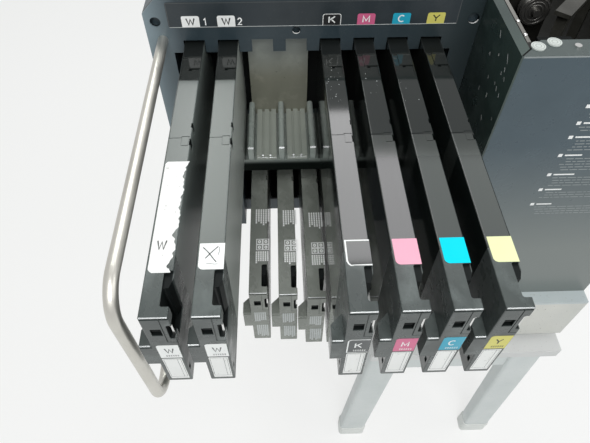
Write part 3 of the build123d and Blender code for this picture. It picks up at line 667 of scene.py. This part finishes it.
y = tornPaper["front"] + v * (tornPaper["back"] - tornPaper["front"])
wave = sum(height * np.sin(radians * v + start) for height, radians, start in tornPaper["waves"])
bites = sum(depth * np.exp(-((v - middle) / wide) ** 2) for depth, middle, wide in tornPaper["bites"])
flare, flareShare = tornPaper["flare"]
rightEdge = tornPaper["right"] - wave * (v > tornPaper["wavesFrom"]) - bites + flare * lastPart(v, flareShare)
(front, frontShare), (back, backShare) = tornPaper["frontCorner"], tornPaper["backCorner"]
leftEdge = tornPaper["left"] + front * lastPart(1 - v, frontShare) ** 2 + back * lastPart(v, backShare) ** 2
x = leftEdge + (rightEdge - leftEdge) * u
base, edge, edgeRadians, ripple, along, across = tornPaper["lift"]
lift = base + edge * u ** 4 * (0.5 + 0.5 * np.sin(edgeRadians * v)) + ripple * np.sin(along * v + across * u)
paper = np.stack([x, y + 0 * u, cartridgeTop + lift + 0 * x], axis=-1)
fromGrids("torn_paper", [paper[::-1]], "paper", smooth=True)
w = tornPaper["letter"]
fromGrids("torn_paper_letter", letter(onTop(w["x"], w["y"], lift=w["lift"]), "W", w["width"], w["height"],
                                      w["weight"]), "blackPrint")
print("papers")

# Print on the lower cartridges: blocks of dashes in columns with ragged ends, and four boxes with a dot.
# Each block has its place from the cartridge's middle and front or top, its pitch and its longest column.
lowerPrint = dict(columns=6, dash=3.1, gap=0.45, line=2.3, ragged=0.22,
                  back=(-4.0, 151.0, 3.7, 30.0), under=(-3.0, 71.0, 3.3, 18.0),
                  face=(-7.5, -55.5, 3.0, 28.0), foot=(-6.0, -96.0, 3.0, 38.0))
lowerBoxes = dict(place=(-3.0, 93.0), pitch=(9.6, 10.2), size=(8.4, 9.0), line=1.3, dot=(1.5, 2.1), dotLine=1.9)
seeds = np.random.default_rng(7)


# Columns of dashes that go down from a place, a pitch apart: dashes and gaps follow one another until the
# longest, less a random part of it, is reached
def dashColumns(place, pitch, longest):
    dash, columns = lowerPrint["dash"], lowerPrint["columns"]
    ends = longest * (1.0 - lowerPrint["ragged"] * seeds.random(columns))
    return [ribbon(place, [(pitch * i, -s), (pitch * i, -s - dash)], lowerPrint["line"])
            for i in range(columns) for s in np.arange(0.0, ends[i], dash + lowerPrint["gap"])]


for number, (cx, front) in enumerate(zip(lowerCentres[:3], lowerFronts), 1):
    across, along = lowerBoxes["place"]
    spot = onTop(cx + across, front + along, lowerTop)
    wide, deep = lowerBoxes["size"]
    boxes = []
    for i in range(2):
        for j in range(2):
            x0, y0 = lowerBoxes["pitch"][0] * i, -lowerBoxes["pitch"][1] * j
            corners = [(x0, y0), (x0 + wide, y0), (x0 + wide, y0 - deep), (x0, y0 - deep), (x0, y0)]
            boxes.append(ribbon(spot, corners, lowerBoxes["line"]))
            dot = arc(x0 + wide / 2, y0 - deep / 2, *lowerBoxes["dot"], 90, 450, 11)
            boxes.append(ribbon(spot, dot, lowerBoxes["dotLine"]))
    behind, under = (dashColumns(onTop(cx + across, front + along, lowerTop), pitch, longest)
                     for across, along, pitch, longest in (lowerPrint["back"], lowerPrint["under"]))
    high, low = (dashColumns(onFront(cx + across, lowerTop + up, front), pitch, longest)
                 for across, up, pitch, longest in (lowerPrint["face"], lowerPrint["foot"]))
    fromGrids("lower_print_%d" % number, behind + boxes + under, "whitePrint")
    fromGrids("lower_face_print_%d" % number, high + low, "paleLine")
print("lower print")

# Notice on the body's cover: a small square and a thick line before each group of plain rows, no words.
# A row is cut into dashes of random length.
notice = dict(left=327.0, right=512.0, lift=0.15, squares=(1163, 1136, 1112, 1079, 1041, 1009, 976), side=5.6,
              pitch=5.4, rows=(3, 2, 4, 5, 4, 3, 4), title=(9.0, 22.0, 8.0), titleLine=2.6, under=4.0,
              dash=(5.0, 11.0), gap=1.8, line=1.5)
plainRows = []
squares = []
for z, rows in zip(notice["squares"], notice["rows"]):
    side, lift = notice["side"], notice["lift"]
    squares.append(patch(onFront(notice["left"], z, coverFace, lift), side, side, rows=2, columns=2))
    right, shortest, more = notice["title"]
    title = onFront(notice["left"] + right, z + side / 2, coverFace, lift)
    squares.append(ribbon(title, [(0, 0), (shortest + more * seeds.random(), 0)], notice["titleLine"]))
    for k in range(rows):
        line = onFront(notice["left"], z - notice["under"] - notice["pitch"] * k, coverFace, lift)
        cuts = np.cumsum(notice["dash"][0] + notice["dash"][1] * seeds.random(24))
        cuts = cuts[cuts < notice["right"] - notice["left"]]
        plainRows += [ribbon(line, [(a, 0), (b - notice["gap"], 0)], notice["line"])
                      for a, b in zip(cuts[:-1], cuts[1:])]
fromGrids("notice_rows", plainRows, "dimLine")
fromGrids("notice_squares", squares, "whitePrint")

# Pale strip on the lower inner edge of two panel holes: the hole's radius at an angle, carried through the sheet
holeEdge = dict(inset=0.12, start=200, end=340, near=0.1, far=2.3,
                holes=(("middle", -23.0, 16.5, 5.6), ("right", 212.0, 29.5, 7.5)))    # x, height, radius
for name, x, up, radius in holeEdge["holes"]:
    a = np.radians(np.linspace(holeEdge["start"], holeEdge["end"], 20))[:, None]
    deep = np.linspace(holeEdge["near"], holeEdge["far"], 3)[None, :]
    r = radius - holeEdge["inset"] + 0 * deep
    edge = np.stack([x + r * np.cos(a), deep + 0 * a, cartridgeTop + up + r * np.sin(a)], axis=-1)
    fromGrids("hole_edge_" + name, [edge], "whitePrint", smooth=True)


# Small domed screw heads: radius r sin(t) at height h cos(t)
def dome(centre, radius, height, turns=16, rings=5):
    t = np.linspace(0.0, np.pi / 2, rings)[None, :]
    a = np.linspace(0, 2 * np.pi, turns, endpoint=False)[:, None]
    x = centre[0] + radius * np.sin(t) * np.cos(a)
    y = centre[1] + radius * np.sin(t) * np.sin(a)
    return np.stack([x, y, centre[2] + height * np.cos(t) + 0 * a], axis=-1)[::-1]


railScrews = dict(x=251.6, z=1223.0, height=1.7, heads=((-41.3, 2.6), (-71.4, 2.8)))    # Y and radius of each
heads = [dome((railScrews["x"], y, railScrews["z"]), r, railScrews["height"]) for y, r in railScrews["heads"]]
fromGrids("rail_screws", heads, "brightSteel", ring=True, smooth=True)

# Open mitre of the rim at its front left corner, and two rings on each round cap
rim = dict(mitreZ=1238.12, mitre=[(bodyLeft + 0.9, coverFace + 0.8), (238.0, -121.6)], mitreLine=1.9,
           capZ=1239.68, caps=((23.5, 17.5), (44.5, 25.0)), ringRadii=(3.2, 6.4), ringLine=0.9)
fromGrids("rim_mitre_gap", [ribbon(onTop(0, 0, rim["mitreZ"], 0), rim["mitre"], rim["mitreLine"])],
          "blackPlastic")
rings = [ribbon(onTop(bodyLeft + along, coverFace + back, rim["capZ"], 0), arc(0, 0, r, r, 0, 360, 33),
                rim["ringLine"]) for along, back in rim["caps"] for r in rim["ringRadii"]]
fromGrids("cap_rings", rings, "ridgePrint")

# Rings on the drive pulley's face: a tube of radius q, flattened across the face, carried round a circle of
# radius r
pulley = dict(x=314.3, y=42.6, z=1186.0, rings=((18.5, 0.9), (13.5, 1.0), (9.0, 1.1)), flat=0.4)
a = np.linspace(0, 2 * np.pi, 48, endpoint=False)[:, None]
b = np.linspace(0, 2 * np.pi, 9)[None, :]
hoops = []
for r, q in pulley["rings"]:
    x = pulley["x"] + (r + q * np.cos(b)) * np.cos(a)
    z = pulley["z"] + (r + q * np.cos(b)) * np.sin(a)
    hoops.append(np.stack([x, pulley["y"] + pulley["flat"] * q * np.sin(b) + 0 * a, z], axis=-1)[::-1])
fromGrids("pulley_rings", hoops, "aluminium", ring=True, smooth=True)

# Scratches on the body's side wall, each with its start, towards the front and up, and its run. The middle of
# each lies off its straight line by the bend.
wallScratch = dict(line=1.0, bend=0.4, lift=0.15)
wall = dict(corner=(bodyLeft - wallScratch["lift"], 0, 0), across=(0, -1, 0), up=(0, 0, 1))
scratches = [(104, 1219, 7, -9), (109, 1204, 3, -5), (104, 1195, 2, -4), (66, 1226, 5, -7), (57, 1190, 3, -3),
             (98, 1175, 2, -3), (106, 1174, 3, -5), (118, 1173, 2, -5), (116, 1195, 3, -4), (88, 1150, 2, -6),
             (75, 1168, 2, -4), (96, 1120, 3, -7), (60, 1140, 2, -5), (124, 1140, 1, -4), (82, 1205, 1, -3)]
marksOnWall = [ribbon(wall, [(s, z), (s + 0.5 * ds + wallScratch["bend"], z + 0.5 * dz), (s + ds, z + dz)],
                      wallScratch["line"]) for s, z, ds, dz in scratches]
fromGrids("wall_scratches", marksOnWall, "whitePrint")

# Dust at the backs of three cartridges: front, back, left, width and number of specks. The receiver's end of
# the case, behind stepBack, lies lower.
dust = dict(fields=((-132, -34, 11, 20, 30), (-120, -70, 57, 20, 6), (-130, -90, 103, 20, 4)),
            radius=(0.25, 0.45), lift=0.1, stepBack=-80, step=1.0)
dots = []
for low, high, left, width, count in dust["fields"]:
    places = left + width * seeds.random(count), low + (high - low) * seeds.random(count)
    radii = dust["radius"][0] + dust["radius"][1] * seeds.random(count) ** 2
    for x, y, r in zip(*places, radii):
        z = cartridgeTop - (dust["step"] if y > dust["stepBack"] else 0.0)
        spot = onTop(x - r, y - r, z, dust["lift"])
        dots.append(patch(spot, 2 * r, 2 * r, (r, r, r, r), rows=5, columns=2))
fromGrids("dust_specks", dots, "paleLine")


# Painted edge highlight: a pale narrow strip along X on a front edge, which leans by an angle, so that it faces
# up and forward, and bulges by a parabola over its width, highest in the middle
def facet(x0, x1, y, z, lean, width, bulge=0.05):
    a = math.radians(lean)
    u = np.linspace(x0, x1, 9)[:, None]
    v = np.linspace(-0.5, 0.5, 3)[None, :] * width
    out = bulge * (1 - (2 * v / width) ** 2)
    back = y + v * math.sin(a) - out * math.cos(a) + 0 * u
    high = z + v * math.cos(a) + out * math.sin(a) + 0 * u
    return np.stack([u + 0 * v, back, high], axis=-1)


# Painted highlight strips on front edges: middles along X, start and end from a middle, Y, Z, lean and width.
# The lower fronts' Y and Z are from the cartridge's front and top.
slots = [slotCentre(i) for i in slotOf.values()]
frontEdges = dict(
    heads=(slots, -12.4, 12.4, frontFace + 0.38, cartridgeTop - 0.30, 53, 1.3),
    dividers=((-92.0, -46.0, 0.0), -4.0, 4.0, -71.5, 1043.4, 43.3, 2.6),
    insertRibs=((-74.8, -63.2, -28.8, -17.2), -1.3, 1.3, -71.9, 1028.5, 43.3, 2.2),
    inserts=((-69.0, -23.0), -14.5, 14.5, -72.05, 1024.2, 43.3, 1.0),
    lugs=(slots, -24.4, -14.2, frontFace + 0.38, cartridgeTop - 57.3, 54, 1.5),
)
lowerEdge = dict(half=12.0, y=0.38, z=-0.3, shape=(53, 1.3))
edges = [facet(x + start, x + end, *shape) for xs, start, end, *shape in frontEdges.values() for x in xs]
edges += [facet(x - lowerEdge["half"], x + lowerEdge["half"], front + lowerEdge["y"], lowerTop + lowerEdge["z"],
                *lowerEdge["shape"]) for x, front in zip(lowerCentres, lowerFronts)]
fromGrids("edge_highlight_strips", edges, "paintedEdgeHighlight", smooth=True)
# Painted highlight: a lighter line along the top edge of the cover's front, under the rim
rimHighlight = dict(left=225.0, right=529.6, z=1236.6, line=2.2)
rimPath = [(rimHighlight["left"], rimHighlight["z"]), (rimHighlight["right"], rimHighlight["z"])]
fromGrids("rim_edge_highlight", [ribbon(onFront(0, 0, coverFace), rimPath, rimHighlight["line"])], "dimLine")
print("print, screws, edges, wear")


# 1 for camera, glossy and transmission rays, 0 for the rest
def directView(tree):
    path = addNode(tree, "ShaderNodeLightPath")
    either = combine(tree, "ADD", path.outputs["Is Camera Ray"], path.outputs["Is Glossy Ray"])
    return combine(tree, "ADD", either, path.outputs["Is Transmission Ray"], clamp=True)


# Floor: takes the shadow, and glows a little for the camera
half = floor["half"]
ground = bpy.data.meshes.new("floor")
ground.from_pydata([(-half, -half, 0), (half, -half, 0), (half, half, 0), (-half, half, 0)], [], [(0, 1, 2, 3)])
ground.update()
floorObject = bpy.data.objects.new("floor", ground)
scene.collection.objects.link(floorObject)
floorMaterial = bpy.data.materials.new("floor")
floorMaterial.use_nodes = True
floorTree = floorMaterial.node_tree
floorShader = floorTree.nodes["Principled BSDF"]
floorShader.inputs["Base Color"].default_value = (*floor["colour"], 1)
floorShader.inputs["Roughness"].default_value = floor["rough"]
glow = addNode(floorTree, "ShaderNodeEmission", Color=(*floor["glow"], 1), Strength=1.0)
share = addNode(floorTree, "ShaderNodeMixShader")
floorTree.links.new(combine(floorTree, "MULTIPLY", directView(floorTree), floor["shown"]), share.inputs[0])
floorTree.links.new(floorShader.outputs[0], share.inputs[1])
floorTree.links.new(glow.outputs[0], share.inputs[2])
floorTree.links.new(share.outputs[0], floorTree.nodes["Material Output"].inputs["Surface"])
ground.materials.append(floorMaterial)


def addLamp(name, width, depth, power, place):
    data = bpy.data.lights.new(name, "AREA")
    data.shape = "RECTANGLE"
    data.size, data.size_y = width, depth
    data.energy = power
    lamp = bpy.data.objects.new(name, data)
    scene.collection.objects.link(lamp)
    lamp.location = Vector(put(place))
    return lamp


for name, l in lights.items():
    lamp = addLamp(name + "_light", *l["size"], l["power"], l["place"])
    towards = Vector(put(l["aim"])) - lamp.location
    lamp.rotation_euler = towards.to_track_quat("-Z", "Y").to_euler()

for number, (left, right, front, back, radiance, colour) in enumerate(ceiling["panels"], 1):
    width, depth = (right - left) / 1000.0, (back - front) / 1000.0
    middle = [(left + right) / 2, (front + back) / 2, ceiling["height"]]
    lamp = addLamp("ceiling_%d" % number, width, depth, radiance * math.pi * width * depth, middle)
    lamp.data.color = colour

# World: even light, and a pale backdrop for the camera
sky = bpy.data.worlds.new("studio")
scene.world = sky
sky.use_nodes = True
tree = sky.node_tree
tree.nodes.clear()
out = addNode(tree, "ShaderNodeOutputWorld")
plain = addNode(tree, "ShaderNodeBackground", Color=(*world["colour"], 1), Strength=world["strength"])
shown = addNode(tree, "ShaderNodeBackground", Color=(1, 1, 1, 1), Strength=world["seen"])
mix = addNode(tree, "ShaderNodeMixShader")
tree.links.new(directView(tree), mix.inputs[0])
tree.links.new(plain.outputs[0], mix.inputs[1])
tree.links.new(shown.outputs[0], mix.inputs[2])
tree.links.new(mix.outputs[0], out.inputs["Surface"])

# Camera: looks along Y, turned by yaw, tilted down, then rolled about its own axis
tilt, yaw, roll = (math.radians(camera[k]) for k in ("tilt", "yaw", "roll"))
forward = np.array([math.sin(yaw) * math.cos(tilt), math.cos(yaw) * math.cos(tilt), -math.sin(tilt)])
level = np.array([math.cos(yaw), -math.sin(yaw), 0.0])
down = np.cross(forward, level)
across = math.cos(roll) * level + math.sin(roll) * down
up = math.sin(roll) * level - math.cos(roll) * down
data = bpy.data.cameras.new("camera")
data.lens = camera["lens"]
data.sensor_width = camera["sensor"]
data.clip_start = camera["near"]
view = bpy.data.objects.new("camera", data)
scene.collection.objects.link(view)
rows = np.column_stack([across, up, -forward, put(camera["place"])])
view.matrix_world = Matrix([list(map(float, r)) for r in rows] + [[0, 0, 0, 1]])
scene.camera = view
scene.view_settings.view_transform = "Standard"
print("floor, lights and camera")
